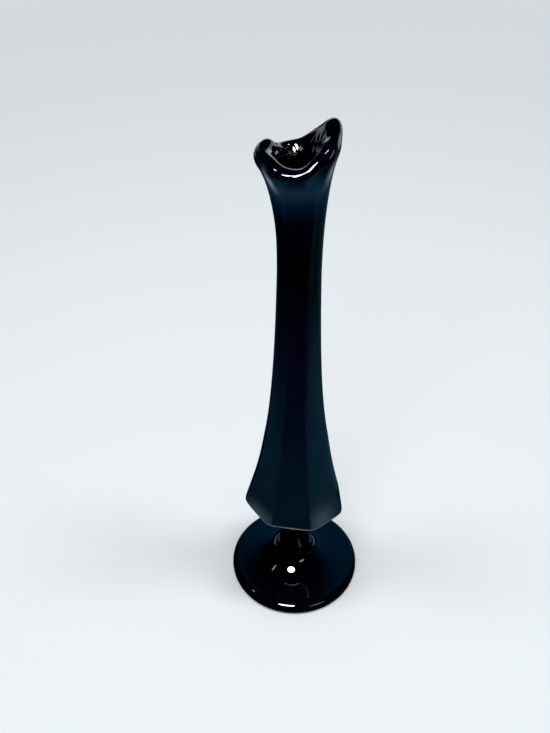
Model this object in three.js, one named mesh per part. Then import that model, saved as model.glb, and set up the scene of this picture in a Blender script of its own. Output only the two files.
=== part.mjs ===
// Swung bud vase in black pressed glass: a round foot, a short solid stem and an
// eight-panelled body that tapers up to a drawn neck with a lobed, fire-polished lip.
// Millimetres, +Z up. The origin is the centre of the plane that the foot rests on,
// and -Y is the side that faces the viewer.
import * as THREE from 'three';

// Foot: a pressed disc with a rounded edge and a low dome that sweeps up to the stem.
const FOOT_RADIUS = 34.8;
const FOOT_EDGE = 6.6;
const FOOT_LOWER_ROUND = 2.2;
const FOOT_UPPER_ROUND = 4.6;
const FOOT_HEIGHT = 24;
const FOOT_DOME_REACH = 10;
const FOOT_DOME_RISE = 2.4;
const FOOT_SWEEP_DROP = 12;
const REST_RING_WIDTH = 6;
const RECESS_DEPTH = 1.2;
const RECESS_SLOPE = 3.5;

// Stem: a solid gather, a little waisted, sealed to the foot below and the body above.
const STEM_RADIUS = 8.3;
const STEM_WAIST = 0.4;
const STEM_LENGTH = 20;

// Body: heights are above the seal with the stem, radii are to the middle of a panel.
const SEAL_LAP = 0.6;
const SHOULDER_HEIGHT = 20.8;
const SHOULDER_RADIUS = 25.65;
const SHOULDER_ROUND = 1.2;
const NECK_HEIGHT = 171;
const NECK_RADIUS = 9.8;
const SWING_STRETCH = 3.04;
const PANELS = 8;
const PANEL_TURN = -4;
const PANEL_CRISPNESS = 30;
const ROUND_OUTLINE = 2;
const PANEL_FADE = 65;
const SHOULDER_TILT = 5.4;
const BACK_DRAW = 0.18;
const BACK_DRAW_START = 7.8;
const SAG_REACH = 40;
const SWING_LEAN = 0.23;
const SWING_LEAN_LEVEL = 127;

// Inside: the round cavity that the plunger left, drawn narrow with the neck.
const BASE_WALL = 4.2;
const NECK_WALL = 3.6;
const BOWL_HEIGHT = 28;
const BOWL_DEPTH = 19;

// Lip: the mean reach and height of the middle of the rim, and how the rim departs
// from them round the mouth, counter-clockwise from +X and seen from above. The crown is
// how far the rim stands up from its middle, as a share of its round.
const LIP_REACH = 13.6;
const LIP_RISE = 63;
const LIP_ROUND = 2.8;
const FLARE_START = 1.21;
const FLARE_END = 0.6;
const LIP_STATIONS = [
  { turn: 0, reach: -1.6, rise: 3.9, swell: 0.7, lean: 20, crown: 1.25 },
  { turn: 30, reach: -0.1, rise: 6.7, swell: 0.6, lean: 35, crown: 1.12 },
  { turn: 60, reach: -0.8, rise: 1, swell: -0.4, lean: 33, crown: 1.22 },
  { turn: 90, reach: -0.8, rise: -5.1, swell: -0.8, lean: 42, crown: 1.25 },
  { turn: 115, reach: 0.1, rise: -6.7, swell: -0.8, lean: 49, crown: 1.27 },
  { turn: 138, reach: -0.4, rise: -5.2, swell: -0.7, lean: 46, crown: 1.26 },
  { turn: 160, reach: 0.4, rise: -0.6, swell: -0.6, lean: 35, crown: 1.26 },
  { turn: 185, reach: 1.8, rise: -1.6, swell: 0.7, lean: 39, crown: 1.15 },
  { turn: 210, reach: 1.2, rise: -2.5, swell: 0.9, lean: 23, crown: 1.24 },
  { turn: 240, reach: 0.5, rise: -3.4, swell: 0.4, lean: 23, crown: 1.07 },
  { turn: 270, reach: 0, rise: -3.3, swell: 0.6, lean: 34, crown: 1.24 },
  { turn: 300, reach: -0.6, rise: 1.8, swell: 0, lean: 11, crown: 1.39 },
  { turn: 330, reach: -1.6, rise: 2.7, swell: 1.2, lean: 16, crown: 1.27 },
];

// How finely the curves are divided.
const TURN_STEPS = 64;
const ARC_STEPS = 4;
const EDGE_STEPS = 6;
const FOOT_STEPS = 14;
const STEM_STEPS = 4;
const UNDER_STEPS = 4;
const SHOULDER_STEPS = 3;
const PANEL_STEPS = 12;
const FLARE_STEPS = 10;
const LIP_STEPS = 8;
const BORE_STEPS = 8;
const BOWL_STEPS = 6;

// Heights that the pieces share: the foot's top carries the stem, and the stem's the body.
const SEAL_HEIGHT = FOOT_HEIGHT + STEM_LENGTH;
const SHOULDER_TOP = SEAL_HEIGHT + SHOULDER_HEIGHT;
const NECK_TOP = SEAL_HEIGHT + NECK_HEIGHT;
const LIP_TOP = NECK_TOP + LIP_RISE;

const glass = new THREE.MeshStandardMaterial({ color: 0x03060b, roughness: 0.12, metalness: 0 });
const moulded = new THREE.MeshStandardMaterial({ color: 0x050b12, roughness: 0.25, metalness: 0 });

const radians = THREE.MathUtils.degToRad;
const mix = THREE.MathUtils.lerp;

// A profile of (radius, height) points turned about +Z, starting and ending on the axis.
function turned(profile) {
  const geometry = new THREE.LatheGeometry(profile, TURN_STEPS);
  geometry.rotateX(Math.PI / 2);
  return geometry;
}

// The points of a curve after its first one.
function along(curve, steps) {
  return curve.getPoints(steps).slice(1);
}

// The foot rests on a flat ring round a shallow recess. Its edge is rounded a little below
// and more above, where it was polished in the fire.
function footProfile() {
  const ring = FOOT_RADIUS - FOOT_LOWER_ROUND;
  const recess = ring - REST_RING_WIDTH;
  const dome = FOOT_RADIUS - FOOT_UPPER_ROUND;
  const side = new THREE.Vector2(FOOT_RADIUS, FOOT_LOWER_ROUND);
  const lowerEdge = new THREE.QuadraticBezierCurve(
    new THREE.Vector2(ring, 0),
    new THREE.Vector2(FOOT_RADIUS, 0),
    side,
  );
  const upperEdge = new THREE.QuadraticBezierCurve(
    side,
    new THREE.Vector2(FOOT_RADIUS, FOOT_EDGE),
    new THREE.Vector2(dome, FOOT_EDGE),
  );
  const sweep = new THREE.CubicBezierCurve(
    new THREE.Vector2(dome, FOOT_EDGE),
    new THREE.Vector2(dome - FOOT_DOME_REACH, FOOT_EDGE + FOOT_DOME_RISE),
    new THREE.Vector2(STEM_RADIUS, FOOT_HEIGHT - FOOT_SWEEP_DROP),
    new THREE.Vector2(STEM_RADIUS, FOOT_HEIGHT),
  );
  return [
    new THREE.Vector2(0, RECESS_DEPTH),
    new THREE.Vector2(recess - RECESS_SLOPE, RECESS_DEPTH),
    new THREE.Vector2(recess, 0),
    new THREE.Vector2(ring, 0),
    ...along(lowerEdge, ARC_STEPS),
    ...along(upperEdge, EDGE_STEPS),
    ...along(sweep, FOOT_STEPS),
    new THREE.Vector2(0, FOOT_HEIGHT),
  ];
}

// The stem is drawn in by STEM_WAIST half way up.
function stemProfile() {
  const waist = new THREE.QuadraticBezierCurve(
    new THREE.Vector2(STEM_RADIUS, FOOT_HEIGHT),
    new THREE.Vector2(STEM_RADIUS - 2 * STEM_WAIST, FOOT_HEIGHT + STEM_LENGTH / 2),
    new THREE.Vector2(STEM_RADIUS, SEAL_HEIGHT),
  );
  return [
    new THREE.Vector2(0, FOOT_HEIGHT),
    ...waist.getPoints(STEM_STEPS),
    new THREE.Vector2(0, SEAL_HEIGHT),
  ];
}

// Swinging stretches the hot glass most where it is thinnest, so the taper is exponential.
function taper(height) {
  const part = (height - SHOULDER_TOP) / (NECK_TOP - SHOULDER_TOP);
  const end = Math.exp(-SWING_STRETCH);
  return mix(NECK_RADIUS, SHOULDER_RADIUS, (Math.exp(-SWING_STRETCH * part) - end) / (1 - end));
}

// The mould's panels are crisp at the shoulder and melt away towards the neck. An outline
// with a crispness of ROUND_OUTLINE is a plain circle.
function crispness(height) {
  const fade = Math.exp(-Math.max(0, height - SHOULDER_TOP) / PANEL_FADE);
  return mix(ROUND_OUTLINE, PANEL_CRISPNESS, fade);
}

// How far a panelled outline stands out from its panels' middles at a turn about the axis.
function panelReach(turn, crisp) {
  let here = 0;
  let middle = 0;
  for (let panel = 0; panel < PANELS; panel += 1) {
    const facing = (panel * 2 * Math.PI) / PANELS;
    here += Math.max(0, Math.cos(turn - radians(PANEL_TURN) - facing)) ** crisp;
    middle += Math.max(0, Math.cos(facing)) ** crisp;
  }
  return (middle / here) ** (1 / crisp);
}

// A cubic through two points that leaves and arrives along the given directions.
function sweepPoint(start, leaving, finish, arriving, part) {
  const span = start.distanceTo(finish);
  const near = start.clone().addScaledVector(leaving, (span * FLARE_START) / 3);
  const far = finish.clone().addScaledVector(arriving, (-span * FLARE_END) / 3);
  return new THREE.CubicBezierCurve(start, near, far, finish).getPoint(part);
}

// A value of the lip at a turn, on a smooth closed curve through its stations.
function lipValue(turn, name) {
  const degrees = THREE.MathUtils.euclideanModulo(THREE.MathUtils.radToDeg(turn), 360);
  const count = LIP_STATIONS.length;
  let at = count - 1;
  while (LIP_STATIONS[at].turn > degrees) {
    at -= 1;
  }
  const station = (index) => {
    const lap = Math.floor(index / count);
    const place = LIP_STATIONS[index - lap * count];
    return { turn: place.turn + 360 * lap, value: place[name] };
  };
  const [before, left, right, after] = [at - 1, at, at + 1, at + 2].map(station);
  const span = right.turn - left.turn;
  const part = (degrees - left.turn) / span;
  const leaving = ((right.value - before.value) / (right.turn - before.turn)) * span;
  const arriving = ((after.value - left.value) / (after.turn - left.turn)) * span;
  const square = part * part;
  const cube = square * part;
  return (2 * cube - 3 * square + 1) * left.value + (cube - 2 * square + part) * leaving
    + (3 * square - 2 * cube) * right.value + (cube - square) * arriving;
}

// The rim's section at a turn: its middle, its round, its crown and the way its wall leans
// outwards.
function lipSection(turn) {
  const lean = radians(lipValue(turn, 'lean'));
  const round = LIP_ROUND + lipValue(turn, 'swell');
  return {
    middle: new THREE.Vector2(
      LIP_REACH + lipValue(turn, 'reach'),
      LIP_TOP + lipValue(turn, 'rise'),
    ),
    round,
    crown: round * lipValue(turn, 'crown'),
    along: new THREE.Vector2(Math.sin(lean), Math.cos(lean)),
    outward: new THREE.Vector2(Math.cos(lean), -Math.sin(lean)),
  };
}

// The body's levels, from the seal up the outside, over the lip and down into the cavity.
// Each gives the radius and height of its point at a turn.
function bodyLevels() {
  const levels = [];
  const upright = new THREE.Vector2(0, 1);
  const add = (level) => levels.push(level);
  const panelled = (radius, height, crisp) => {
    add((turn) => new THREE.Vector2(radius * panelReach(turn, crisp), height));
  };
  const seal = new THREE.Vector2(STEM_RADIUS + SEAL_LAP, SEAL_HEIGHT);
  const under = new THREE.Vector2(SHOULDER_RADIUS - SHOULDER_ROUND, SHOULDER_TOP - SHOULDER_ROUND);
  add(() => new THREE.Vector2(0, SEAL_HEIGHT));
  for (let step = 0; step <= UNDER_STEPS; step += 1) {
    const part = step / UNDER_STEPS;
    const point = seal.clone().lerp(under, part);
    panelled(point.x, point.y, mix(ROUND_OUTLINE, PANEL_CRISPNESS, part));
  }
  const shoulderRound = new THREE.QuadraticBezierCurve(
    under,
    new THREE.Vector2(SHOULDER_RADIUS, SHOULDER_TOP),
    new THREE.Vector2(taper(SHOULDER_TOP + SHOULDER_ROUND), SHOULDER_TOP + SHOULDER_ROUND),
  );
  for (const point of along(shoulderRound, SHOULDER_STEPS)) {
    panelled(point.x, point.y, crispness(point.y));
  }
  for (let step = 1; step <= PANEL_STEPS; step += 1) {
    const height = mix(SHOULDER_TOP + SHOULDER_ROUND, NECK_TOP, step / PANEL_STEPS);
    panelled(taper(height), height, crispness(height));
  }
  for (let step = 1; step <= FLARE_STEPS; step += 1) {
    const part = step / FLARE_STEPS;
    add((turn) => {
      const lip = lipSection(turn);
      const start = new THREE.Vector2(NECK_RADIUS, NECK_TOP);
      start.x *= panelReach(turn, crispness(NECK_TOP));
      const finish = lip.middle.clone().addScaledVector(lip.outward, lip.round);
      return sweepPoint(start, upright, finish, lip.along, part);
    });
  }
  for (let step = 1; step <= LIP_STEPS; step += 1) {
    const angle = (Math.PI * step) / LIP_STEPS;
    add((turn) => {
      const lip = lipSection(turn);
      return lip.middle.clone()
        .addScaledVector(lip.outward, Math.cos(angle) * lip.round)
        .addScaledVector(lip.along, Math.sin(angle) * lip.crown);
    });
  }
  for (let step = FLARE_STEPS - 1; step >= 0; step -= 1) {
    const part = step / FLARE_STEPS;
    add((turn) => {
      const lip = lipSection(turn);
      const start = new THREE.Vector2(NECK_RADIUS - NECK_WALL, NECK_TOP);
      const finish = lip.middle.clone().addScaledVector(lip.outward, -lip.round);
      return sweepPoint(start, upright, finish, lip.along, part);
    });
  }
  const bowlTop = SEAL_HEIGHT + BOWL_HEIGHT;
  for (let step = 1; step <= BORE_STEPS; step += 1) {
    const part = step / BORE_STEPS;
    const height = mix(NECK_TOP, bowlTop, part);
    const radius = taper(height) - mix(NECK_WALL, BASE_WALL, part);
    add(() => new THREE.Vector2(radius, height));
  }
  const bowlRadius = taper(bowlTop) - BASE_WALL;
  const bowl = new THREE.EllipseCurve(0, bowlTop, bowlRadius, BOWL_DEPTH, 0, -Math.PI / 2, true);
  for (const point of along(bowl, BOWL_STEPS)) {
    add(() => point.clone());
  }
  return levels;
}

// Hot glass sags: the shoulder hangs lower on the +X side and draws in towards the back.
function sagShoulder(point) {
  const above = point.z - SHOULDER_TOP;
  const fade = above > 0 ? 1 - above / SAG_REACH : 1 + above / SHOULDER_HEIGHT;
  const share = Math.max(0, fade);
  const depth = (point.y + BACK_DRAW_START) / SHOULDER_RADIUS;
  point.x *= 1 - BACK_DRAW * share * depth;
  point.z -= Math.tan(radians(SHOULDER_TILT)) * share * point.x;
}

// The swing left the whole body leaning a little towards +X.
function leanBody(point) {
  point.x += Math.tan(radians(SWING_LEAN)) * (point.z - SEAL_HEIGHT - SWING_LEAN_LEVEL);
}

// The levels are laid on a turned grid, one point of every level at each turn, and the grid
// is turned with the panels, so that the panels' corners fall on it.
function bodyGeometry() {
  const levels = bodyLevels();
  const outside = levels.length - BOWL_STEPS - BORE_STEPS - FLARE_STEPS;
  const geometry = new THREE.LatheGeometry(levels.map(() => new THREE.Vector2()), TURN_STEPS);
  const place = geometry.getAttribute('position');
  for (let side = 0; side <= TURN_STEPS; side += 1) {
    const turn = radians(PANEL_TURN) + (2 * Math.PI * (side % TURN_STEPS)) / TURN_STEPS;
    levels.forEach((level, index) => {
      const section = level(turn);
      const point = new THREE.Vector3(
        section.x * Math.cos(turn),
        section.x * Math.sin(turn),
        section.y,
      );
      if (index < outside) {
        sagShoulder(point);
      }
      leanBody(point);
      place.setXYZ(side * levels.length + index, point.x, point.y, point.z);
    });
  }
  geometry.computeVertexNormals();
  return geometry;
}

function piece(name, geometry, material) {
  const mesh = new THREE.Mesh(geometry, material);
  mesh.name = name;
  return mesh;
}

const vase = new THREE.Group();
vase.add(piece('foot', turned(footProfile()), glass));
vase.add(piece('stem', turned(stemProfile()), glass));
vase.add(piece('body', bodyGeometry(), moulded));

export default vase;
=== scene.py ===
import math

import bpy
from mathutils import Matrix, Quaternion, Vector


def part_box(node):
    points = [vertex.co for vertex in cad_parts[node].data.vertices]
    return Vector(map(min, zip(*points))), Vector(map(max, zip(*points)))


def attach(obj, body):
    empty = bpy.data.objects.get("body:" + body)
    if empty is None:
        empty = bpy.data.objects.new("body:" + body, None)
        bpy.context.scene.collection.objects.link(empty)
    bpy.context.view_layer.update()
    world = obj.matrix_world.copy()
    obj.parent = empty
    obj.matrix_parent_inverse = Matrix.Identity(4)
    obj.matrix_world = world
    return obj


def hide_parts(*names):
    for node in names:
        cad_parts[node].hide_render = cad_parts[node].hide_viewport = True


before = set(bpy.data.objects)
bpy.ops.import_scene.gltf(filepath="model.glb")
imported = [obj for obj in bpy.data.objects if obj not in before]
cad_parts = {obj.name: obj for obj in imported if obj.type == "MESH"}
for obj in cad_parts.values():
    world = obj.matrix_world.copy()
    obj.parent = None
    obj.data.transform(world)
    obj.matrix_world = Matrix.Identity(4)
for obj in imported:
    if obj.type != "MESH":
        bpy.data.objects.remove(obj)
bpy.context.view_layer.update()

# Foot
# The foot is a disc pressed in black glass, with a rounded edge and a low dome that sweeps
# up to the stem. It was fire-polished after pressing, so it mirrors the room. It rests on
# a flat ring round a shallow recess.
FOOT_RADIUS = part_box("foot")[1].x
FOOT_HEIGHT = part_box("foot")[1].z
FOOT_EDGE = 0.0066
FOOT_LOWER_ROUND = 0.0022
FOOT_UPPER_ROUND = 0.0046
FOOT_DOME_REACH = 0.010
FOOT_DOME_RISE = 0.0024
FOOT_SWEEP_DROP = 0.012
REST_RING_WIDTH = 0.006
RECESS_DEPTH = 0.0012
RECESS_SLOPE = 0.0035
STEM_RADIUS = 0.0083
TURNS = 256
EDGE_STEPS = 12
SWEEP_STEPS = 72
SHARP_EDGE = math.radians(50)


def bezier(points, steps):
    """The points of a Bezier curve after its first one."""
    curve = []
    for step in range(1, steps + 1):
        part = step / steps
        left = [Vector(point) for point in points]
        while len(left) > 1:
            left = [here.lerp(there, part) for here, there in zip(left, left[1:])]
        curve.append(left[0])
    return curve


def turned(name, profile):
    """A closed piece turned about +Z from a profile of (radius, height) that starts and
    ends on the axis."""
    bottom, *rings, top = [Vector(point) for point in profile]
    points = [(0, 0, bottom.y)]
    for ring in rings:
        for turn in range(TURNS):
            angle = 2 * math.pi * turn / TURNS
            points.append((ring.x * math.cos(angle), ring.x * math.sin(angle), ring.y))
    points.append((0, 0, top.y))
    faces = []
    last = 1 + (len(rings) - 1) * TURNS
    for turn in range(TURNS):
        after = (turn + 1) % TURNS
        faces.append((0, 1 + after, 1 + turn))
        for ring in range(len(rings) - 1):
            low = 1 + ring * TURNS
            high = low + TURNS
            faces.append((low + turn, low + after, high + after, high + turn))
        faces.append((last + turn, last + after, len(points) - 1))
    mesh = bpy.data.meshes.new(name)
    mesh.from_pydata(points, [], faces)
    mesh.shade_smooth()
    mesh.set_sharp_from_angle(angle=SHARP_EDGE)
    piece = bpy.data.objects.new(name, mesh)
    bpy.context.scene.collection.objects.link(piece)
    return piece


def foot_profile():
    """The edge is rounded a little below and more above, where it was polished. The recess
    and the rest ring are underneath."""
    ring = FOOT_RADIUS - FOOT_LOWER_ROUND
    recess = ring - REST_RING_WIDTH
    dome = FOOT_RADIUS - FOOT_UPPER_ROUND
    side = (FOOT_RADIUS, FOOT_LOWER_ROUND)
    lower_edge = [(ring, 0), (FOOT_RADIUS, 0), side]
    upper_edge = [side, (FOOT_RADIUS, FOOT_EDGE), (dome, FOOT_EDGE)]
    sweep = [
        (dome, FOOT_EDGE),
        (dome - FOOT_DOME_REACH, FOOT_EDGE + FOOT_DOME_RISE),
        (STEM_RADIUS, FOOT_HEIGHT - FOOT_SWEEP_DROP),
        (STEM_RADIUS, FOOT_HEIGHT),
    ]
    return [
        (0, RECESS_DEPTH),
        (recess - RECESS_SLOPE, RECESS_DEPTH),
        (recess, 0),
        (ring, 0),
        *bezier(lower_edge, EDGE_STEPS),
        *bezier(upper_edge, EDGE_STEPS),
        *bezier(sweep, SWEEP_STEPS),
        (0, FOOT_HEIGHT),
    ]


def feed(tree, port, value):
    """Links a socket or a worked-out number to a port, or sets the port to a fixed value."""
    if isinstance(value, Number):
        value = value.socket
    if isinstance(value, bpy.types.NodeSocket):
        tree.links.new(value, port)
    else:
        port.default_value = value


def add_node(tree, kind, inputs=(), **settings):
    """A new node with its settings, and its inputs fed by name or by place."""
    node = tree.nodes.new(kind)
    for name, value in settings.items():
        setattr(node, name, value)
    for port, value in dict(inputs).items():
        feed(tree, node.inputs[port], value)
    return node


class Number:
    """A number that a node tree works out, so that a rule reads as plain arithmetic."""

    def __init__(self, tree, socket):
        self.tree = tree
        self.socket = socket

    def work(self, operation, *values):
        node = add_node(self.tree, "ShaderNodeMath", enumerate(values), operation=operation)
        return Number(self.tree, node.outputs[0])

    def __add__(self, other):
        return self.work("ADD", self, other)

    def __radd__(self, other):
        return self.work("ADD", other, self)

    def __sub__(self, other):
        return self.work("SUBTRACT", self, other)

    def __rsub__(self, other):
        return self.work("SUBTRACT", other, self)

    def __mul__(self, other):
        return self.work("MULTIPLY", self, other)

    def __rmul__(self, other):
        return self.work("MULTIPLY", other, self)

    def __truediv__(self, other):
        return self.work("DIVIDE", self, other)

    def __rtruediv__(self, other):
        return self.work("DIVIDE", other, self)

    def __pow__(self, other):
        return self.work("POWER", self, other)

    def at_least(self, bound):
        return self.work("MAXIMUM", self, bound)

    def at_most(self, bound):
        return self.work("MINIMUM", self, bound)

    def below(self, bound):
        return self.work("LESS_THAN", self, bound)

    def sine(self):
        return self.work("SINE", self)

    def cosine(self):
        return self.work("COSINE", self)

    def exponential(self):
        return self.work("EXPONENT", self)


def numbers(tree, vector):
    """The three numbers of a vector."""
    node = add_node(tree, "ShaderNodeSeparateXYZ", {0: vector})
    return [Number(tree, socket) for socket in node.outputs]


def joined(tree, x, y, z):
    """The vector of three numbers."""
    return add_node(tree, "ShaderNodeCombineXYZ", {0: x, 1: y, 2: z}).outputs[0]


def smooth_step(tree, value, low, high):
    """Passes smoothly from 0 at low to 1 at high."""
    rising = low < high
    levels = {
        "Value": value,
        "From Min": min(low, high),
        "From Max": max(low, high),
        "To Min": 0 if rising else 1,
        "To Max": 1 if rising else 0,
    }
    node = add_node(tree, "ShaderNodeMapRange", levels, interpolation_type="SMOOTHSTEP")
    return Number(tree, node.outputs["Result"])


def mixed(tree, share, base, over):
    """The base colour, with a share of another colour over it."""
    node = add_node(tree, "ShaderNodeMix", {"Factor": share, "A": base, "B": over}, data_type="RGBA")
    return node.outputs["Result"]


def node_tree(name, kind, inputs, outputs):
    """A new tree, with the kinds of its named inputs and outputs, and its two end nodes."""
    tree = bpy.data.node_groups.new(name, kind)
    for way, sockets in (("INPUT", inputs), ("OUTPUT", outputs)):
        for label, socket_kind in sockets.items():
            tree.interface.new_socket(label, in_out=way, socket_type="NodeSocket" + socket_kind)
    return tree, tree.nodes.new("NodeGroupInput"), tree.nodes.new("NodeGroupOutput")


def new_material(name):
    """A material with its tree and its shader."""
    material = bpy.data.materials.new(name)
    material.use_nodes = True
    return material, material.node_tree, material.node_tree.nodes["Principled BSDF"]


GLASS_IOR = 1.5
GLASS_SPECULAR = 0.29
FIRE_POLISH = {"Polish": 0.02, "Dulling": 0.02}
SMUDGE_SCALE = 90
SMUDGE_DETAIL = 5
DUST_SCALE = 160
DUST_RARITY = 0.93
DUST_SIZE = 0.9
DUST_COLOUR = (0.16, 0.19, 0.22, 1)
WAVE_DETAIL = 1.5


def handling_marks():
    """Dust that has settled, and how far handling has dulled the polish."""
    tree, given, made = node_tree(
        "Handling marks",
        "ShaderNodeTree",
        {"Place": "Vector", "Polish": "Float", "Dulling": "Float"},
        {"Roughness": "Float", "Dust": "Float"},
    )
    place = given.outputs["Place"]
    polish = Number(tree, given.outputs["Polish"])
    dulling = Number(tree, given.outputs["Dulling"])
    smudge = add_node(
        tree,
        "ShaderNodeTexNoise",
        {"Vector": place, "Scale": SMUDGE_SCALE, "Detail": SMUDGE_DETAIL},
    )
    speck = add_node(tree, "ShaderNodeTexVoronoi", {"Vector": place, "Scale": DUST_SCALE})
    rare = add_node(tree, "ShaderNodeTexWhiteNoise", {"Vector": speck.outputs["Position"]})
    spread = Number(tree, smudge.outputs["Fac"]) ** 2
    near = Number(tree, speck.outputs["Distance"])
    chance = Number(tree, rare.outputs["Value"])
    feed(tree, made.inputs["Roughness"], polish + spread * dulling)
    feed(tree, made.inputs["Dust"], near.below((chance - DUST_RARITY) * DUST_SIZE))
    return tree


def drawn_waves():
    """The faint waves that pulling and reheating leave in a glass surface."""
    tree, given, made = node_tree(
        "Drawn waves",
        "ShaderNodeTree",
        {"Place": "Vector", "Waves": "Float", "Stretch": "Float"},
        {"Height": "Float"},
    )
    x, y, z = numbers(tree, given.outputs["Place"])
    drawn = joined(tree, x, y, z / Number(tree, given.outputs["Stretch"]))
    wave = add_node(
        tree,
        "ShaderNodeTexNoise",
        {"Vector": drawn, "Scale": given.outputs["Waves"], "Detail": WAVE_DETAIL},
    )
    feed(tree, made.inputs["Height"], wave.outputs["Fac"])
    return tree


HANDLING_MARKS = handling_marks()
DRAWN_WAVES = drawn_waves()


def black_glass(name, colours, waves, satin=None, polish_from=None, skin=None, relief=None):
    """Black glass that shows its room. colours are pairs of a height and the base colour there,
    which on the body paints reflections. waves are how close the waves lie, how far they are
    stretched along the piece, and their depth. A satin surface passes into a fire-polished one
    between the two heights of polish_from. skin works out the colour of the surface from that
    of the glass, and relief works out a height that the waves don't have."""
    material, tree, shader = new_material(name)
    shader.inputs["IOR"].default_value = GLASS_IOR
    shader.inputs["Specular IOR Level"].default_value = GLASS_SPECULAR
    place = tree.nodes.new("ShaderNodeTexCoord").outputs["Object"]
    height = numbers(tree, place)[2]

    marks = add_node(
        tree,
        "ShaderNodeGroup",
        {"Place": place, **FIRE_POLISH},
        node_tree=HANDLING_MARKS,
    )
    if satin:
        polished = smooth_step(tree, height, *polish_from)
        for label, fine in FIRE_POLISH.items():
            feed(tree, marks.inputs[label], polished * (fine - satin[label]) + satin[label])
    feed(tree, shader.inputs["Roughness"], marks.outputs["Roughness"])

    first, last = colours[0][0], colours[-1][0]
    tone = add_node(tree, "ShaderNodeValToRGB", {0: (height - first) / (last - first)})
    stops = tone.color_ramp.elements
    while len(stops) < len(colours):
        stops.new(1)
    for stop, (level, colour) in zip(stops, colours):
        stop.position = (level - first) / (last - first)
        stop.color = (*colour, 1)
    glass = tone.outputs["Color"]
    if skin:
        glass = skin(tree, place, glass)
    feed(tree, shader.inputs["Base Color"], mixed(tree, marks.outputs["Dust"], glass, DUST_COLOUR))

    scale, stretch, wave_depth = waves
    drawn = add_node(
        tree,
        "ShaderNodeGroup",
        {"Place": place, "Waves": scale, "Stretch": stretch},
        node_tree=DRAWN_WAVES,
    )
    raised = Number(tree, drawn.outputs["Height"]) * wave_depth
    if satin:
        start, end = polish_from
        raised = raised * ((end - height) / (end - start)).at_least(0).at_most(1)
    if relief:
        raised = raised + relief(tree, place)
    bump = add_node(tree, "ShaderNodeBump", {"Distance": 1, "Height": raised})
    feed(tree, shader.inputs["Normal"], bump.outputs["Normal"])
    return material


FOOT_COLOURS = ((0, (0.0006, 0.0016, 0.003)), (0.012, (0.0001, 0.0002, 0.0006)))
FOOT_WAVES = (60, 1, 0.00002)
foot = turned("foot_glass_disc", foot_profile())
foot.data.materials.append(black_glass("Fire-polished foot", FOOT_COLOURS, FOOT_WAVES))
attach(foot, "root")
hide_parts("foot")

# Stem
# The stem is a solid gather of the same glass, a little waisted. It joins the foot to the
# body, and was sealed to both while hot.
STEM_WAIST = 0.0004
STEM_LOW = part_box("stem")[0].z
STEM_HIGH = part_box("stem")[1].z
STEM_STEPS = 24


def stem_profile():
    waist = [
        (STEM_RADIUS, STEM_LOW),
        (STEM_RADIUS - 2 * STEM_WAIST, (STEM_LOW + STEM_HIGH) / 2),
        (STEM_RADIUS, STEM_HIGH),
    ]
    return [(0, STEM_LOW), waist[0], *bezier(waist, STEM_STEPS), (0, STEM_HIGH)]


STEM_COLOURS = ((STEM_LOW, (0.0001, 0.0002, 0.0006)), (STEM_HIGH, (0.0003, 0.0006, 0.001)))
STEM_WAVES = (80, 2, 0.00002)
stem = turned("stem_glass_gather", stem_profile())
stem.data.materials.append(black_glass("Fire-polished stem", STEM_COLOURS, STEM_WAVES))
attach(stem, "root")
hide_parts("stem")

# Body
# The body is black glass, pressed in an eight-panelled mould and swung while hot, which drew
# its upper half out to a long neck and melted the panels away there. The lip was reheated
# and pulled into lobes, so it is rounder and glossier than the panels.
SEAL_OVERHANG = 0.0006

# The inputs of the tree that shapes the body. Heights are above the seal with the stem, and
# radii are to the middle of a panel.
BODY_SIZES = {
    "Seal height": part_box("body")[0].z,
    "Seal radius": STEM_RADIUS + SEAL_OVERHANG,
    "Shoulder height": 0.0208,
    "Shoulder radius": 0.02565,
    "Shoulder round": 0.0012,
    "Shoulder tilt": math.radians(5.4),
    "Neck height": 0.171,
    "Neck radius": 0.0098,
    "Swing stretch": 3.04,
    "Swing lean": math.radians(0.23),
    "Swing lean level": 0.127,
    "Panels": 8,
    "Panel turn": math.radians(-4),
    "Panel crispness": 30,
    "Panel fade": 0.065,
    "Back draw": 0.18,
    "Back draw start": 0.0078,
    "Sag reach": 0.040,
    "Base wall": 0.0042,
    "Neck wall": 0.0036,
    "Bowl height": 0.028,
    "Bowl depth": 0.019,
    "Flare start": 1.21,
    "Flare end": 0.6,
    "Ripple depth": 0.00002,
}
ROUND_OUTLINE = 2
LIP_REACH = 0.0136
LIP_RISE = 0.063
LIP_ROUND = 0.0028
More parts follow.
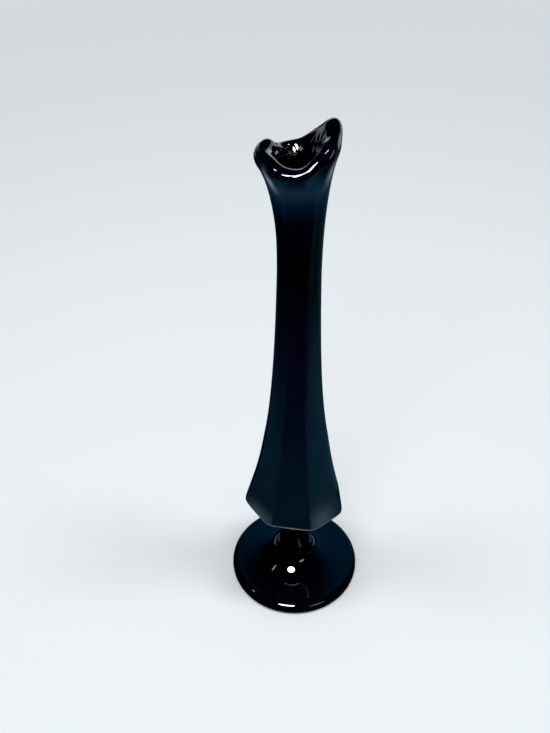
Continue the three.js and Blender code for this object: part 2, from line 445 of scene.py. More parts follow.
# How the rim departs from its mean, in millimetres and degrees, round the mouth from +X. The
# crown is how far the rim stands up from its middle, as a share of its round.
LIP_STATIONS = (
    {"turn": 0, "reach": -1.6, "rise": 3.9, "swell": 0.7, "lean": 20, "crown": 1.25},
    {"turn": 30, "reach": -0.1, "rise": 6.7, "swell": 0.6, "lean": 35, "crown": 1.12},
    {"turn": 60, "reach": -0.8, "rise": 1, "swell": -0.4, "lean": 33, "crown": 1.22},
    {"turn": 90, "reach": -0.8, "rise": -5.1, "swell": -0.8, "lean": 42, "crown": 1.25},
    {"turn": 115, "reach": 0.1, "rise": -6.7, "swell": -0.8, "lean": 49, "crown": 1.27},
    {"turn": 138, "reach": -0.4, "rise": -5.2, "swell": -0.7, "lean": 46, "crown": 1.26},
    {"turn": 160, "reach": 0.4, "rise": -0.6, "swell": -0.6, "lean": 35, "crown": 1.26},
    {"turn": 185, "reach": 1.8, "rise": -1.6, "swell": 0.7, "lean": 39, "crown": 1.15},
    {"turn": 210, "reach": 1.2, "rise": -2.5, "swell": 0.9, "lean": 23, "crown": 1.24},
    {"turn": 240, "reach": 0.5, "rise": -3.4, "swell": 0.4, "lean": 23, "crown": 1.07},
    {"turn": 270, "reach": 0, "rise": -3.3, "swell": 0.6, "lean": 34, "crown": 1.24},
    {"turn": 300, "reach": -0.6, "rise": 1.8, "swell": 0, "lean": 11, "crown": 1.39},
    {"turn": 330, "reach": -1.6, "rise": 2.7, "swell": 1.2, "lean": 16, "crown": 1.27},
)
FULL_TURN = 360
MILLIMETRE = 0.001
BODY_ROWS = {
    "base": 1,
    "under": 16,
    "shoulder": 8,
    "panels": 64,
    "flare": 40,
    "rim": 28,
    "throat": 30,
    "bore": 12,
    "bowl": 10,
}
EDGE_MARK = "mould_edge"
RIPPLE_SCALE = 70
RIPPLE_DETAIL = 1
RIPPLE_START = 0.004
WELD = 0.000002


def lip_value(degrees, name):
    """A value of the lip on a smooth closed curve through its stations."""
    count = len(LIP_STATIONS)
    at = max(i for i, station in enumerate(LIP_STATIONS) if station["turn"] <= degrees)

    def station(index):
        lap, place = divmod(index, count)
        return LIP_STATIONS[place]["turn"] + FULL_TURN * lap, LIP_STATIONS[place][name]

    before, left, right, after = [station(at + step) for step in (-1, 0, 1, 2)]
    span = right[0] - left[0]
    part = (degrees - left[0]) / span
    leaving = (right[1] - before[1]) / (right[0] - before[0]) * span
    arriving = (after[1] - left[1]) / (after[0] - left[0]) * span
    square = part * part
    cube = square * part
    return (
        (2 * cube - 3 * square + 1) * left[1]
        + (cube - 2 * square + part) * leaving
        + (3 * square - 2 * cube) * right[1]
        + (cube - square) * arriving
    )


def lip_ring():
    """The middle line of the rim, with the rim's round, crown and lean at each point."""
    mean = BODY_SIZES["Seal height"] + BODY_SIZES["Neck height"] + LIP_RISE
    points = []
    rounds = []
    crowns = []
    leans = []
    for turn in range(TURNS):
        angle = BODY_SIZES["Panel turn"] + 2 * math.pi * turn / TURNS
        degrees = math.degrees(angle) % FULL_TURN
        reach = LIP_REACH + lip_value(degrees, "reach") * MILLIMETRE
        height = mean + lip_value(degrees, "rise") * MILLIMETRE
        points.append((reach * math.cos(angle), reach * math.sin(angle), height))
        rounds.append(LIP_ROUND + lip_value(degrees, "swell") * MILLIMETRE)
        crowns.append(rounds[-1] * lip_value(degrees, "crown"))
        leans.append(math.radians(lip_value(degrees, "lean")))
    mesh = bpy.data.meshes.new("lip_ring")
    mesh.from_pydata(points, [(turn, (turn + 1) % TURNS) for turn in range(TURNS)], [])
    for label, values in (("round", rounds), ("crown", crowns), ("lean", leans)):
        mesh.attributes.new(label, "FLOAT", "POINT").data.foreach_set("value", values)
    return mesh


def panelled_outline():
    """How far a panelled outline stands out from its panels' middles at a turn. The
    crispness of a plain circle is ROUND_OUTLINE, and a high one gives sharp corners."""
    tree, given, made = node_tree(
        "Panelled outline",
        "GeometryNodeTree",
        dict.fromkeys(("Turn", "Crispness", "Panels", "Panel turn"), "Float"),
        {"Stand-out": "Float"},
    )
    start = tree.nodes.new("GeometryNodeRepeatInput")
    end = tree.nodes.new("GeometryNodeRepeatOutput")
    start.pair_with_output(end)
    end.repeat_items.clear()
    for label in ("Panel", "Here", "Middle"):
        end.repeat_items.new("FLOAT", label)
        start.inputs[label].default_value = 0
    tree.links.new(given.outputs["Panels"], start.inputs["Iterations"])
    turn, crisp, panels, first = [Number(tree, socket) for socket in given.outputs[:4]]
    panel = Number(tree, start.outputs["Panel"])
    facing = panel * (2 * math.pi) / panels
    for label, angle in (("Here", turn - first - facing), ("Middle", facing)):
        total = Number(tree, start.outputs[label]) + angle.cosine().at_least(0) ** crisp
        feed(tree, end.inputs[label], total)
    feed(tree, end.inputs["Panel"], panel + 1)
    ratio = Number(tree, end.outputs["Middle"]) / Number(tree, end.outputs["Here"])
    feed(tree, made.inputs["Stand-out"], ratio ** (1 / crisp))
    return tree


PANELLED_OUTLINE = panelled_outline()


def body_tree():
    """The rule of the body: strips of wall from the seal up the outside, over the lip and
    down into the cavity, each a grid of turns and rows that is bent into place."""
    tree, given, made = node_tree(
        "Swung body",
        "GeometryNodeTree",
        {"Lip ring": "Geometry", **dict.fromkeys(BODY_SIZES, "Float"), "Glass": "Material"},
        {"Body": "Geometry"},
    )
    size = {label: Number(tree, given.outputs[label]) for label in BODY_SIZES}
    shoulder_top = size["Seal height"] + size["Shoulder height"]
    neck_top = size["Seal height"] + size["Neck height"]
    bowl_top = size["Seal height"] + size["Bowl height"]
    position = tree.nodes.new("GeometryNodeInputPosition").outputs[0]
    x, y, z = numbers(tree, position)
    # A grid reaches from -0.5 to 0.5 both ways, so these run from 0 to 1 along a strip.
    lap = x + 0.5
    part = y + 0.5
    turn = size["Panel turn"] + lap * (2 * math.pi)

    def blend(here, there, share):
        return here + (there - here) * share

    def moved(geometry, place):
        """The geometry with every point at the place that is worked out for it."""
        inputs = {"Geometry": geometry, "Position": place}
        return add_node(tree, "GeometryNodeSetPosition", inputs).outputs[0]

    def strip(label, radius, height):
        """A grid of turns and rows, bent to a radius and a height. Only the shoulder's is
        marked as the edge of the mould."""
        rows = BODY_ROWS[label]
        sizes = {"Size X": 1, "Size Y": 1, "Vertices X": TURNS + 1, "Vertices Y": rows + 1}
        grid = add_node(tree, "GeometryNodeMeshGrid", sizes).outputs["Mesh"]
        edge = (part * math.pi).sine() if label == "shoulder" else 0
        mark = add_node(
            tree,
            "GeometryNodeStoreNamedAttribute",
            {"Geometry": grid, "Name": EDGE_MARK, "Value": edge},
            data_type="FLOAT",
        )
        place = joined(tree, radius * turn.cosine(), radius * turn.sine(), height)
        return moved(mark.outputs["Geometry"], place)

    def together(pieces):
        node = tree.nodes.new("GeometryNodeJoinGeometry")
        for geometry in pieces:
            tree.links.new(geometry, node.inputs[0])
        return node.outputs[0]

    def panelled(radius, crispness):
        inputs = enumerate((turn, crispness, size["Panels"], size["Panel turn"]))
        node = add_node(tree, "GeometryNodeGroup", inputs, node_tree=PANELLED_OUTLINE)
        return radius * Number(tree, node.outputs[0])

    def taper(height):
        """The radius at a height: the swing drew it in fast at first and then ever less."""
        share = (height - shoulder_top) / (neck_top - shoulder_top)
        end = (size["Swing stretch"] * -1).exponential()
        drawn = (size["Swing stretch"] * share * -1).exponential()
        return blend(size["Neck radius"], size["Shoulder radius"], (drawn - end) / (1 - end))

    def crispness(height):
        fade = ((height - shoulder_top).at_least(0) / size["Panel fade"] * -1).exponential()
        return blend(ROUND_OUTLINE, size["Panel crispness"], fade)

    def on_ring(field, kind):
        """A field's value on the lip ring at the same turn."""
        place = lap * TURNS + 0.5
        place = place.work("FLOOR", place)
        place = place.work("MODULO", place, TURNS)
        inputs = {"Geometry": given.outputs["Lip ring"], "Value": field, "Index": place}
        return add_node(tree, "GeometryNodeSampleIndex", inputs, data_type=kind).outputs[0]

    def lip_attribute(name):
        node = add_node(tree, "GeometryNodeInputNamedAttribute", {"Name": name}, data_type="FLOAT")
        return Number(tree, on_ring(node.outputs["Attribute"], "FLOAT"))

    ring_x, ring_y, rim_height = numbers(tree, on_ring(position, "FLOAT_VECTOR"))
    rim_reach = (ring_x * ring_x + ring_y * ring_y) ** 0.5
    rim_round = lip_attribute("round")
    rim_crown = lip_attribute("crown")
    lean_out = lip_attribute("lean").sine()
    lean_up = lip_attribute("lean").cosine()

    def on_rim(outward, up):
        """The place on the rim's round, which leans with the lip."""
        radius = rim_reach + lean_up * outward * rim_round + lean_out * up * rim_crown
        height = rim_height + lean_up * up * rim_crown - lean_out * outward * rim_round
        return radius, height

    def sweep(radius, finish, share):
        """A cubic that leaves the neck upright and arrives along the lean of the lip."""
        end_radius, end_height = finish
        wide = end_radius - radius
        tall = end_height - neck_top
        span = (wide * wide + tall * tall) ** 0.5 / 3
        left = 1 - share
        weights = (left**3, 3 * left * left * share, 3 * left * share * share, share**3)
        far = span * size["Flare end"]
        radii = (radius, radius, end_radius - lean_out * far, end_radius)
        near_height = neck_top + span * size["Flare start"]
        heights = (neck_top, near_height, end_height - lean_up * far, end_height)
        return [
            sum(weight * value for weight, value in zip(weights, values))
            for values in (radii, heights)
        ]

    low_radius = size["Shoulder radius"] - size["Shoulder round"]
    low_height = shoulder_top - size["Shoulder round"]
    high_height = shoulder_top + size["Shoulder round"]
    blend_radius = blend(size["Seal radius"], low_radius, part)
    under_crispness = blend(ROUND_OUTLINE, size["Panel crispness"], part)
    bend_radius = blend(
        blend(low_radius, size["Shoulder radius"], part),
        blend(size["Shoulder radius"], taper(high_height), part),
        part,
    )
    bend_height = blend(
        blend(low_height, shoulder_top, part),
        blend(shoulder_top, high_height, part),
        part,
    )
    under_height = blend(size["Seal height"], low_height, part)
    panel_height = blend(high_height, neck_top, part)
    neck_outline = panelled(size["Neck radius"], crispness(neck_top))
    rim_turn = part * math.pi
    bore_height = blend(neck_top, bowl_top, part)
    bore_radius = taper(bore_height) - blend(size["Neck wall"], size["Base wall"], part)
    bowl_turn = part * (math.pi / 2)
    bowl_radius = (taper(bowl_top) - size["Base wall"]) * bowl_turn.cosine()
    outside = together([
        strip("base", size["Seal radius"] * part, size["Seal height"]),
        strip("under", panelled(blend_radius, under_crispness), under_height),
        strip("shoulder", panelled(bend_radius, crispness(bend_height)), bend_height),
        strip("panels", panelled(taper(panel_height), crispness(panel_height)), panel_height),
        strip("flare", *sweep(neck_outline, on_rim(1, 0), part)),
        strip("rim", *on_rim(rim_turn.cosine(), rim_turn.sine())),
    ])
    inside = [
        strip("throat", *sweep(size["Neck radius"] - size["Neck wall"], on_rim(-1, 0), 1 - part)),
        strip("bore", bore_radius, bore_height),
        strip("bowl", bowl_radius, bowl_top - size["Bowl depth"] * bowl_turn.sine()),
    ]

    # The shoulder sags to one side, and its back is drawn in.
    above = z - shoulder_top
    fade = 1 - above.at_least(0) / size["Sag reach"] + above.at_most(0) / size["Shoulder height"]
    share = fade.at_least(0)
    depth = (y + size["Back draw start"]) / size["Shoulder radius"]
    drawn_x = x * (1 - size["Back draw"] * share * depth)
    tilt = size["Shoulder tilt"]
    slope = tilt.work("TANGENT", tilt)
    sagged = moved(outside, joined(tree, drawn_x, y, z - slope * share * drawn_x))

    # The swing left the whole body leaning a little.
    swing = size["Swing lean"]
    slant = swing.work("TANGENT", swing)
    leaning_x = x + slant * (z - size["Seal height"] - size["Swing lean level"])
    swung = moved(together([sagged, *inside]), joined(tree, leaning_x, y, z))
    weld = add_node(tree, "GeometryNodeMergeByDistance", {"Geometry": swung, "Distance": WELD})
    ripple = add_node(
        tree,
        "ShaderNodeTexNoise",
        {"Vector": position, "Scale": RIPPLE_SCALE, "Detail": RIPPLE_DETAIL},
    )
    clear = ((z - size["Seal height"]) / RIPPLE_START).at_least(0).at_most(1)
    wave = (Number(tree, ripple.outputs["Fac"]) - 0.5) * size["Ripple depth"] * clear
    normal = tree.nodes.new("GeometryNodeInputNormal").outputs[0]
    push = add_node(tree, "ShaderNodeVectorMath", {0: normal, "Scale": wave}, operation="SCALE")
    rippled = add_node(
        tree,
        "GeometryNodeSetPosition",
        {"Geometry": weld.outputs["Geometry"], "Offset": push.outputs[0]},
    )
    smooth = add_node(tree, "GeometryNodeSetShadeSmooth", {"Geometry": rippled.outputs[0]})
    whole = add_node(tree, "GeometryNodeRealizeInstances", {0: smooth.outputs[0]})
    finish = add_node(
        tree,
        "GeometryNodeSetMaterial",
        {"Geometry": whole.outputs[0], "Material": given.outputs["Glass"]},
    )
    feed(tree, made.inputs["Body"], finish.outputs[0])
    return tree


def settled(piece):
    """Turns a piece's modifiers into a plain mesh."""
    evaluated = piece.evaluated_get(bpy.context.evaluated_depsgraph_get())
    mesh = bpy.data.meshes.new_from_object(evaluated)
    piece.modifiers.clear()
    piece.data = mesh
    mesh.set_sharp_from_angle(angle=SHARP_EDGE)


# The colours by height are painted reflection on the black glass: a faint blue-teal low on
# the body, which fades to black up the neck, where the glass was stretched smooth, and a
# paler band under the lip, where the lip mirrors the pale floor.
BODY_COLOURS_WITH_PAINTED_REFLECTION = (
    (0.044, (0.0002, 0.001, 0.002)),
    (0.070, (0.0001, 0.0068, 0.0150)),
    (0.092, (0.0001, 0.0068, 0.0155)),
    (0.110, (0.0001, 0.0042, 0.0155)),
    (0.130, (0.0001, 0.0026, 0.0135)),
    (0.148, (0.0001, 0.0014, 0.012)),
    (0.175, (0.0001, 0.0002, 0.009)),
    (0.200, (0.0001, 0.0001, 0.004)),
    (0.225, (0.0001, 0.0001, 0.0006)),
    (0.250, (0.0002, 0.0004, 0.004)),
    (0.259, (0.0010, 0.008, 0.022)),
    (0.267, (0.008, 0.030, 0.050)),
    (0.271, (0.002, 0.016, 0.033)),
    (0.276, (0.0003, 0.0006, 0.004)),
)
# Gray painted reflections lie in streaks below the two side lobes, on the left lobe of the rim,
# and along the foot of the panels beside the front one, where the panels mirror the pale floor.
# Each patch has its middle and its way in millimetres, its reach and width, and its strength.
PAINTED_REFLECTIONS = (
    ((-12.3, -11, 271), (5, 0, -9), 4.5, 1.3, 1),
    ((12.8, -8.8, 274), (-3, -1, -9), 5, 1.7, 1),
    ((-15, 1, 280.5), (1, 1, 0), 3, 2, 0.6),
    ((-17, -17, 67), (1, -1, 0), 9, 4.5, 0.21),
    ((13, -20, 66), (1, 1, 0), 8, 7.5, 0.15),
)
PAINTED_REFLECTION_COLOUR = (0.27, 0.35, 0.42, 1)
# The share of a gray painted highlight along the edge of the mould.
EDGE_HIGHLIGHT_SHARE = 0.35
FRONT_TURN = BODY_SIZES["Panel turn"] - math.pi / 2
FRONT_WAY = (math.cos(FRONT_TURN), math.sin(FRONT_TURN), 0)
FRONT_EDGE = math.cos(math.pi / BODY_SIZES["Panels"])
FRONT_FADE = 0.012
MOUTH_COLOUR = (0.0001, 0.0003, 0.001, 1)
OUTSIDE_FROM = 0.25
OUTSIDE_FADE = 0.25
BODY_WAVES = (110, 9, 0.00003)
SATIN = {"Polish": 0.16, "Dulling": 0.12}
POLISH_FROM = (0.2, 0.262)
MOULD_SIZES = {
    "Panels": BODY_SIZES["Panels"],
    "Panel turn": BODY_SIZES["Panel turn"],
    "Soft": BODY_SIZES["Panel crispness"],
    "Crisp": 140,
    "Bottom": BODY_SIZES["Seal height"] + BODY_SIZES["Shoulder height"],
    "Fade": BODY_SIZES["Panel fade"],
}


def vector_work(tree, operation, *vectors):
    """A node that works on vectors."""
    return add_node(tree, "ShaderNodeVectorMath", enumerate(vectors), operation=operation)


def along_vector(tree, one, other):
    """How far one vector reaches along another."""
    return Number(tree, vector_work(tree, "DOT_PRODUCT", one, other).outputs["Value"])


def vector_length(tree, vector):
    return Number(tree, vector_work(tree, "LENGTH", vector).outputs["Value"])


def painted_reflection_patch():
    """A soft patch of painted reflection that is drawn out along a way, as a share from 0 to 1."""
    vectors = dict.fromkeys(("Place", "Middle", "Way"), "Vector")
    floats = dict.fromkeys(("Reach", "Width", "Strength"), "Float")
    tree, given, made = node_tree(
        "Painted reflection patch", "ShaderNodeTree", {**vectors, **floats}, {"Share": "Float"}
    )
    place, middle, way = given.outputs[:3]
    reach, width, strength = [Number(tree, socket) for socket in given.outputs[3:6]]
    offset = vector_work(tree, "SUBTRACT", place, middle).outputs[0]
    along = along_vector(tree, offset, way) ** 2
    across = vector_length(tree, offset) ** 2 - along
    fall = along / (reach * reach) + across / (width * width)
    feed(tree, made.inputs["Share"], (fall * -1).exponential() * strength)
    return tree


def mould_corners():
    """How much further a crisp corner of the mould stands out than the softened one."""
    floats = dict.fromkeys(("Panels", "Panel turn", "Soft", "Crisp", "Bottom", "Fade"), "Float")
    tree, given, made = node_tree(
        "Mould corners", "ShaderNodeTree", {"Place": "Vector", **floats}, {"Height": "Float"}
    )
    x, y, z = numbers(tree, given.outputs["Place"])
    size = {label: Number(tree, given.outputs[label]) for label in floats}
    half = math.pi / size["Panels"]
    turn = y.work("ARCTAN2", y, x) - size["Panel turn"]
    beside = turn.work("PINGPONG", turn, half)
    outlines = []
    for power in (size["Soft"], size["Crisp"]):
        total = beside.cosine() ** power + (half * 2 - beside).cosine() ** power
        outlines.append(total ** (-1 / power))
    radius = (x * x + y * y) ** 0.5
    left = ((z - size["Bottom"]).at_least(0) / size["Fade"] * -1).exponential()
    feed(tree, made.inputs["Height"], (outlines[1] - outlines[0]) * radius * left)
    return tree


PAINTED_REFLECTION_PATCH = painted_reflection_patch()
MOULD_CORNERS = mould_corners()


def with_painted_light(tree, place, colour):
    """The colour of the outside with the gray painted reflections and the painted highlight along
    the mould edge over it, but for the patches on the front panel. The glass in the mouth, which faces
    the axis, is left black."""
    level = vector_work(tree, "MULTIPLY", place, (1, 1, 0)).outputs[0]
    away = vector_work(tree, "NORMALIZE", level).outputs[0]
    normal = tree.nodes.new("ShaderNodeNewGeometry").outputs["Normal"]
    facing = along_vector(tree, away, normal)
    outside = ((facing - OUTSIDE_FROM) / OUTSIDE_FADE).at_least(0).at_most(1)
    front = along_vector(tree, away, FRONT_WAY)
    beside = ((FRONT_EDGE - front) / FRONT_FADE + 0.5).at_least(0).at_most(1)

    patches = 0
    for middle, way, reach, width, strength in PAINTED_REFLECTIONS:
        inputs = {
            "Place": place,
            "Middle": Vector(middle) * MILLIMETRE,
            "Way": Vector(way).normalized(),
            "Reach": reach * MILLIMETRE,
            "Width": width * MILLIMETRE,
            "Strength": strength,
        }
        patch = add_node(tree, "ShaderNodeGroup", inputs, node_tree=PAINTED_REFLECTION_PATCH)
        patches = Number(tree, patch.outputs["Share"]) + patches
    edge = add_node(tree, "ShaderNodeAttribute", attribute_name=EDGE_MARK)
    painted_light = (patches * beside + Number(tree, edge.outputs["Fac"]) * EDGE_HIGHLIGHT_SHARE).at_most(1)
    return mixed(tree, outside, MOUTH_COLOUR, mixed(tree, painted_light, colour, PAINTED_REFLECTION_COLOUR))


def corner_relief(tree, place):
    """The crispness that the mould gave the corners, and that the solid's own rounds lack."""
    corners = add_node(
        tree,
        "ShaderNodeGroup",
        {"Place": place, **MOULD_SIZES},
        node_tree=MOULD_CORNERS,
    )
    return Number(tree, corners.outputs["Height"])


moulded_glass = black_glass(
    "Moulded panels and polished lip",
    BODY_COLOURS_WITH_PAINTED_REFLECTION,
    BODY_WAVES,
    SATIN,
    POLISH_FROM,
    skin=with_painted_light,
    relief=corner_relief,
)
body = bpy.data.objects.new("body_glass_swung", lip_ring())
bpy.context.scene.collection.objects.link(body)
rule = body.modifiers.new("Swung body", "NODES")
rule.node_group = body_tree()
for item in rule.node_group.interface.items_tree:
    if item.name in BODY_SIZES:
        rule[item.identifier] = float(BODY_SIZES[item.name])
    elif item.name == "Glass":
        rule[item.identifier] = moulded_glass
settled(body)
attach(body, "root")
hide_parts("body")

# Camera
# The camera stands before the vase and above it, and looks down at it by 45 degrees. It is
# turned aside by under two degrees, and rolled by a quarter of one.
CAMERA_PLACE = (0, -0.3675, 0.5233)
CAMERA_PITCH = math.radians(44.86)
CAMERA_YAW = math.radians(-1.64)
CAMERA_ROLL = math.radians(-0.24)
CAMERA_LENS = 54
CAMERA_NEAR = 0.01

camera = bpy.data.objects.new("Camera", bpy.data.cameras.new("Camera"))
bpy.context.scene.collection.objects.link(camera)
camera.data.lens = CAMERA_LENS
camera.data.clip_start = CAMERA_NEAR
camera.matrix_world = (
    Matrix.Translation(CAMERA_PLACE)
    @ Matrix.Rotation(-CAMERA_YAW, 4, "Z")
    @ Matrix.Rotation(math.pi / 2 - CAMERA_PITCH, 4, "X")
    @ Matrix.Rotation(CAMERA_ROLL, 4, "Z")
)
bpy.context.scene.camera = camera

# Floor and backdrop
# A pale, matt floor lies under the vase, and passes far out into a pale room of the same
# colour. The room lights the floor softly from all sides.
FLOOR_RADIUS = 3
FLOOR_SIDES = 64
FLOOR_FADE = (0.3, 1.1)
FLOOR_COLOUR = (0.80, 0.83, 0.85, 1)
FLOOR_ROUGHNESS = 0.7
FLOOR_SPECULAR = 0.2
BACKDROP_COLOUR = (0.72, 0.76, 0.79, 1)
ROOM_LIGHT = 0.55


def seen_directly(tree):
    """1 for a ray from the camera, or one mirrored or passed on by the glass."""
    path = tree.nodes.new("ShaderNodeLightPath")
    names = ("Is Camera Ray", "Is Glossy Ray", "Is Transmission Ray")
    direct, mirrored, passed_on = [Number(tree, path.outputs[name]) for name in names]
    return (direct + mirrored + passed_on).at_most(1)


def floor_finish():
    material, tree, shader = new_material("Pale floor")
    shader.inputs["Base Color"].default_value = FLOOR_COLOUR
    shader.inputs["Roughness"].default_value = FLOOR_ROUGHNESS
    shader.inputs["Specular IOR Level"].default_value = FLOOR_SPECULAR
    glow = add_node(tree, "ShaderNodeEmission", {"Color": BACKDROP_COLOUR})
    place = tree.nodes.new("ShaderNodeTexCoord").outputs["Object"]
    share = smooth_step(tree, vector_length(tree, place), *FLOOR_FADE) * seen_directly(tree)
    parts = {0: share, 1: shader.outputs[0], 2: glow.outputs[0]}
    mix = add_node(tree, "ShaderNodeMixShader", parts)
    feed(tree, tree.nodes["Material Output"].inputs["Surface"], mix.outputs[0])
    return material


floor_mesh = bpy.data.meshes.new("floor")
floor_rim = [2 * math.pi * turn / FLOOR_SIDES for turn in range(FLOOR_SIDES)]
floor_mesh.from_pydata(
    [(FLOOR_RADIUS * math.cos(angle), FLOOR_RADIUS * math.sin(angle), 0) for angle in floor_rim],
    [],
    [tuple(range(FLOOR_SIDES))],
)
floor = bpy.data.objects.new("floor", floor_mesh)
floor.data.materials.append(floor_finish())
bpy.context.scene.collection.objects.link(floor)

world = bpy.data.worlds.new("Pale room")
bpy.context.scene.world = world
world.use_nodes = True
room = world.node_tree
background = room.nodes["Background"]
background.inputs["Color"].default_value = BACKDROP_COLOUR
strength = ROOM_LIGHT + (1 - ROOM_LIGHT) * seen_directly(room)
feed(room, background.inputs["Strength"], strength)

# Room seen in the glass
# The glass stands in a dark room that it alone mirrors. A black dome has a soft blue glow
# behind the vase, which the foot shows. A dark cloth over the floor glows faintly as a painted
# sheen, which the panels show, and a glowing sheet close behind the foot paints the pale floor there
# for the foot alone.
ROOM_RADIUS = 5
ROOM_STEPS = 32
GLOW_COLOUR = (0.01, 0.2, 0.5, 1)
GLOW_TURN = math.radians(76)
GLOW_RISE = math.radians(25)
GLOW_EDGE = (math.cos(math.radians(59)), math.cos(math.radians(27)))
CLOTH_WIDTH = 3.2
CLOTH_LEVEL = 0.0005
# The colour of the cloth's glow, a painted sheen that the panels mirror.
CLOTH_GLOW = (0.045, 0.19, 0.27, 1)
SHEEN_RIGHT = (0.08, 0.14)
SHEEN_RIGHT_END = (0.18, 0.29)
SHEEN_LEFT = (-0.21, -0.15)
SHEEN_LEFT_END = (-0.13, -0.08)
SHEEN_LEFT_SHARE = 0.5
SHEEN_FRONT = (-0.20, -0.08)
SHEEN_BACK = (0, 0.1)
SHEEN_BACK_LOSS = 0.6
SHEEN_BESIDE = (0.030, 0.042)
SHEEN_BEHIND = (0.045, 0.056)
SHEEN_BEHIND_SHARE = 0.26
APRON_WIDTH = 0.058
APRON_LEVEL = 0.0008
# The colour of the sheet's glow, a painted reflection of the pale floor that the foot alone mirrors.
APRON_GLOW_COLOUR = (0.38, 0.64, 0.86, 1)
APRON_BEHIND = (0.014, 0.042)
APRON_NEAR = (0.048, 0.058)


def way_to(turn, rise):
    """The direction at a turn from +X and a rise above the floor."""
    level = math.cos(rise)
    return Vector((level * math.cos(turn), level * math.sin(turn), math.sin(rise)))


def mirror_of(piece):
    """The collection of one piece, for lights that it alone mirrors."""
    mirror = bpy.data.collections.new("Mirrored by " + piece.name)
    mirror.objects.link(piece)
    return mirror


FOOT_MIRROR = mirror_of(foot)
BODY_MIRROR = mirror_of(body)


def only_mirrored(piece):
    """Leaves a stage piece to be seen in the glass alone."""
    piece.visible_camera = False
    piece.visible_diffuse = False
    piece.visible_transmission = False
    piece.visible_shadow = False
    bpy.context.scene.collection.objects.link(piece)


def glowing(name, colour):
    """A black material that glows, with its tree and its glow."""
    material, tree, shader = new_material(name)
    tree.nodes.remove(shader)
    glow = add_node(tree, "ShaderNodeEmission", {"Color": colour})
    feed(tree, tree.nodes["Material Output"].inputs["Surface"], glow.outputs[0])
    return material, tree, glow


def room_finish():
    """The glow is brightest in one direction and fades all round it."""
    material, tree, glow = glowing("Dark room", GLOW_COLOUR)
    place = tree.nodes.new("ShaderNodeTexCoord").outputs["Object"]
    facing = along_vector(tree, place, way_to(GLOW_TURN, GLOW_RISE) / ROOM_RADIUS)
    feed(tree, glow.inputs["Strength"], smooth_step(tree, facing, *GLOW_EDGE))
    return material


def dark_room():
    """A dome round the vase, above the floor."""
    points = []
    for row in range(ROOM_STEPS + 1):
        for column in range(ROOM_STEPS + 1):
            way = way_to(2 * math.pi * column / ROOM_STEPS, math.pi / 2 * row / ROOM_STEPS)
            points.append(way * ROOM_RADIUS)
    faces = []
    for row in range(ROOM_STEPS):
        for column in range(ROOM_STEPS):
            first = row * (ROOM_STEPS + 1) + column
            above = first + ROOM_STEPS + 1
            faces.append((first, first + 1, above + 1, above))
    mesh = bpy.data.meshes.new("dark_room")
    mesh.from_pydata(points, [], faces)
    mesh.materials.append(room_finish())
    dome = bpy.data.objects.new("dark_room", mesh)
    only_mirrored(dome)
    dome.light_linking.receiver_collection = FOOT_MIRROR


def level_sheet(name, half, height, material):
    """A level square that only the glass sees."""
    mesh = bpy.data.meshes.new(name)
    corners = ((-1, -1), (1, -1), (1, 1), (-1, 1))
    mesh.from_pydata([(x * half, y * half, height) for x, y in corners], [], [(0, 1, 2, 3)])
    mesh.materials.append(material)
    sheet = bpy.data.objects.new(name, mesh)
    only_mirrored(sheet)
    return sheet


def sheet_finish(name, colour, strength):
    """A material that glows as strongly as strength works out for a place on the sheet."""
    material, tree, glow = glowing(name, colour)
    x, y = numbers(tree, tree.nodes.new("ShaderNodeTexCoord").outputs["Object"])[:2]
    feed(tree, glow.inputs["Strength"], strength(tree, x, y))
    return material


def cloth_strength(tree, x, y):
    """How strongly the cloth glows: a faint painted sheen to the right and left of the vase, and a
    fainter one behind it on the right. There is none before it."""
    right = smooth_step(tree, x, *SHEEN_RIGHT) * smooth_step(tree, x, *reversed(SHEEN_RIGHT_END))
    left = smooth_step(tree, x, *SHEEN_LEFT) * smooth_step(tree, x, *reversed(SHEEN_LEFT_END))
    kept = 1 - smooth_step(tree, y, *SHEEN_BACK) * SHEEN_BACK_LOSS
    sheen = (right + left * SHEEN_LEFT_SHARE) * smooth_step(tree, y, *SHEEN_FRONT) * kept
    behind = smooth_step(tree, x, *SHEEN_BESIDE) * smooth_step(tree, y, *SHEEN_BEHIND)
    return sheen.at_least(behind * SHEEN_BEHIND_SHARE)


def apron_strength(tree, x, y):
    """The sheet glows pale close behind the foot, on both sides, as a painted reflection of the floor.
    """
    near = smooth_step(tree, ((x * x) ** 0.5).at_least(y), *reversed(APRON_NEAR))
    return near * smooth_step(tree, y, *APRON_BEHIND)


dark_room()
cloth_glow = sheet_finish("Glowing dark cloth", CLOTH_GLOW, cloth_strength)
level_sheet("dark_cloth", CLOTH_WIDTH, CLOTH_LEVEL, cloth_glow)
apron_glow = sheet_finish("Glow behind the foot", APRON_GLOW_COLOUR, apron_strength)
apron = level_sheet("pale_apron", APRON_WIDTH, APRON_LEVEL, apron_glow)
apron.light_linking.receiver_collection = FOOT_MIRROR

# Lamps
# Soft panels over the vase light the floor and the satin of the glass, and aren't mirrored.
# The lamps that the polished foot and lip mirror light nothing else.
LIP_CENTRE = Vector((0, 0, 0.28))
FOOT_CENTRE = Vector((0, 0, 0.012))
SOFT_DISTANCE = 0.9
MIRRORED_DISTANCE = 1.5
NEAR_DISTANCE = 0.6
LOW_RISE = 5


def lamp(
    name, aim, turn, rise, distance, size, brightness, colour=(1, 1, 1), shape="RECTANGLE", tilt=0
):
    """tilt turns the lamp in its own plane, so that its width rises with the turn."""
    light = bpy.data.lights.new(name, "AREA")
    light.shape = shape
    light.size, light.size_y = size
    light.color = colour
    light.energy = brightness * math.pi * size[0] * size[1]
    way = way_to(math.radians(turn), math.radians(rise))
    holder = bpy.data.objects.new(name, light)
    holder.location = aim + way * distance
    level = way.to_track_quat("Z", "Y")
    holder.rotation_euler = (level @ Quaternion((0, 0, 1), math.radians(tilt))).to_euler()
    holder.visible_camera = False
    bpy.context.scene.collection.objects.link(holder)
    return holder


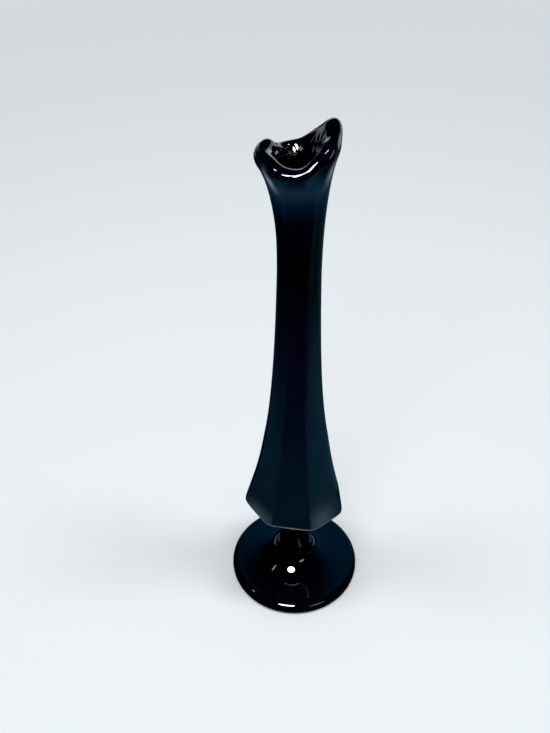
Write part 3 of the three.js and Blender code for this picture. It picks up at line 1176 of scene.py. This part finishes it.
def mirrored_lamp(name, aim, mirror, turn, rise, half, tilt, brightness, colour, shape="RECTANGLE"):
    """A lamp that only one piece of glass mirrors. half is half its width and height in
    degrees, as seen from the glass. A low one stands near, so that it's clear of the floor."""
    distance = MIRRORED_DISTANCE
    if rise < LOW_RISE:
        distance = NEAR_DISTANCE
    size = [2 * distance * math.tan(math.radians(angle)) for angle in half]
    holder = lamp(name, aim, turn, rise, distance, size, brightness, colour, shape, tilt)
    holder.visible_diffuse = False
    holder.light_linking.receiver_collection = mirror


for name, turn, rise, size, brightness in (
    ("Overhead left", 180, 68, (0.2, 0.26), 17),
    ("Overhead middle", 270, 88, (0.14, 0.26), 16),
    ("Overhead right", 357, 66, (0.2, 0.26), 22),
    ("Front fill", 250, 50, (0.3, 0.3), 6),
):
    lamp(name, LIP_CENTRE, turn, rise, SOFT_DISTANCE, size, brightness).visible_glossy = False

for name, turn, rise, half, tilt, brightness, colour in (
    ("Round lamp", 257, 52, (9.5, 9.5), 0, 100, (1, 1, 1)),
    ("Left glint", 188, 51, (8, 1.6), -58, 6, (1, 0.98, 1)),
    ("Right glint", 306, 17.5, (12, 4.5), -20, 6, (1, 0.96, 1.12)),
):
    mirrored_lamp(name, FOOT_CENTRE, FOOT_MIRROR, turn, rise, half, tilt, brightness, colour, "ELLIPSE")

for name, turn, rise, half, tilt, brightness, colour in (
    ("Lip strip left", 228.7, 40, (1.8, 14), 0, 75, (1, 1, 1)),
    ("Lip strip middle", 239.3, 40, (3.2, 14), 0, 75, (1, 1, 1)),
    ("Lip strip right", 268, 38, (8, 10), -40, 75, (1, 1, 1)),
    ("Right lobe line", 345, 67, (9, 3), 0, 55, (1, 1, 1)),
    ("Right lobe streak", 350, 2, (20, 2.5), 65, 5, (0.9, 0.9, 1.2)),
    ("Pale wall left", 50, -2, (24, 15), 0, 1.7, (0.9, 1.03, 1.15)),
    ("Pale wall middle", 93, 4, (19, 17), 0, 1.5, (0.9, 1.03, 1.15)),
    ("Pale wall right", 133, -10, (14, 8), 0, 0.7, (0.9, 1.03, 1.15)),
):
    mirrored_lamp(name, LIP_CENTRE, BODY_MIRROR, turn, rise, half, tilt, brightness, colour)

scene = bpy.context.scene
scene.view_settings.view_transform = "Standard"
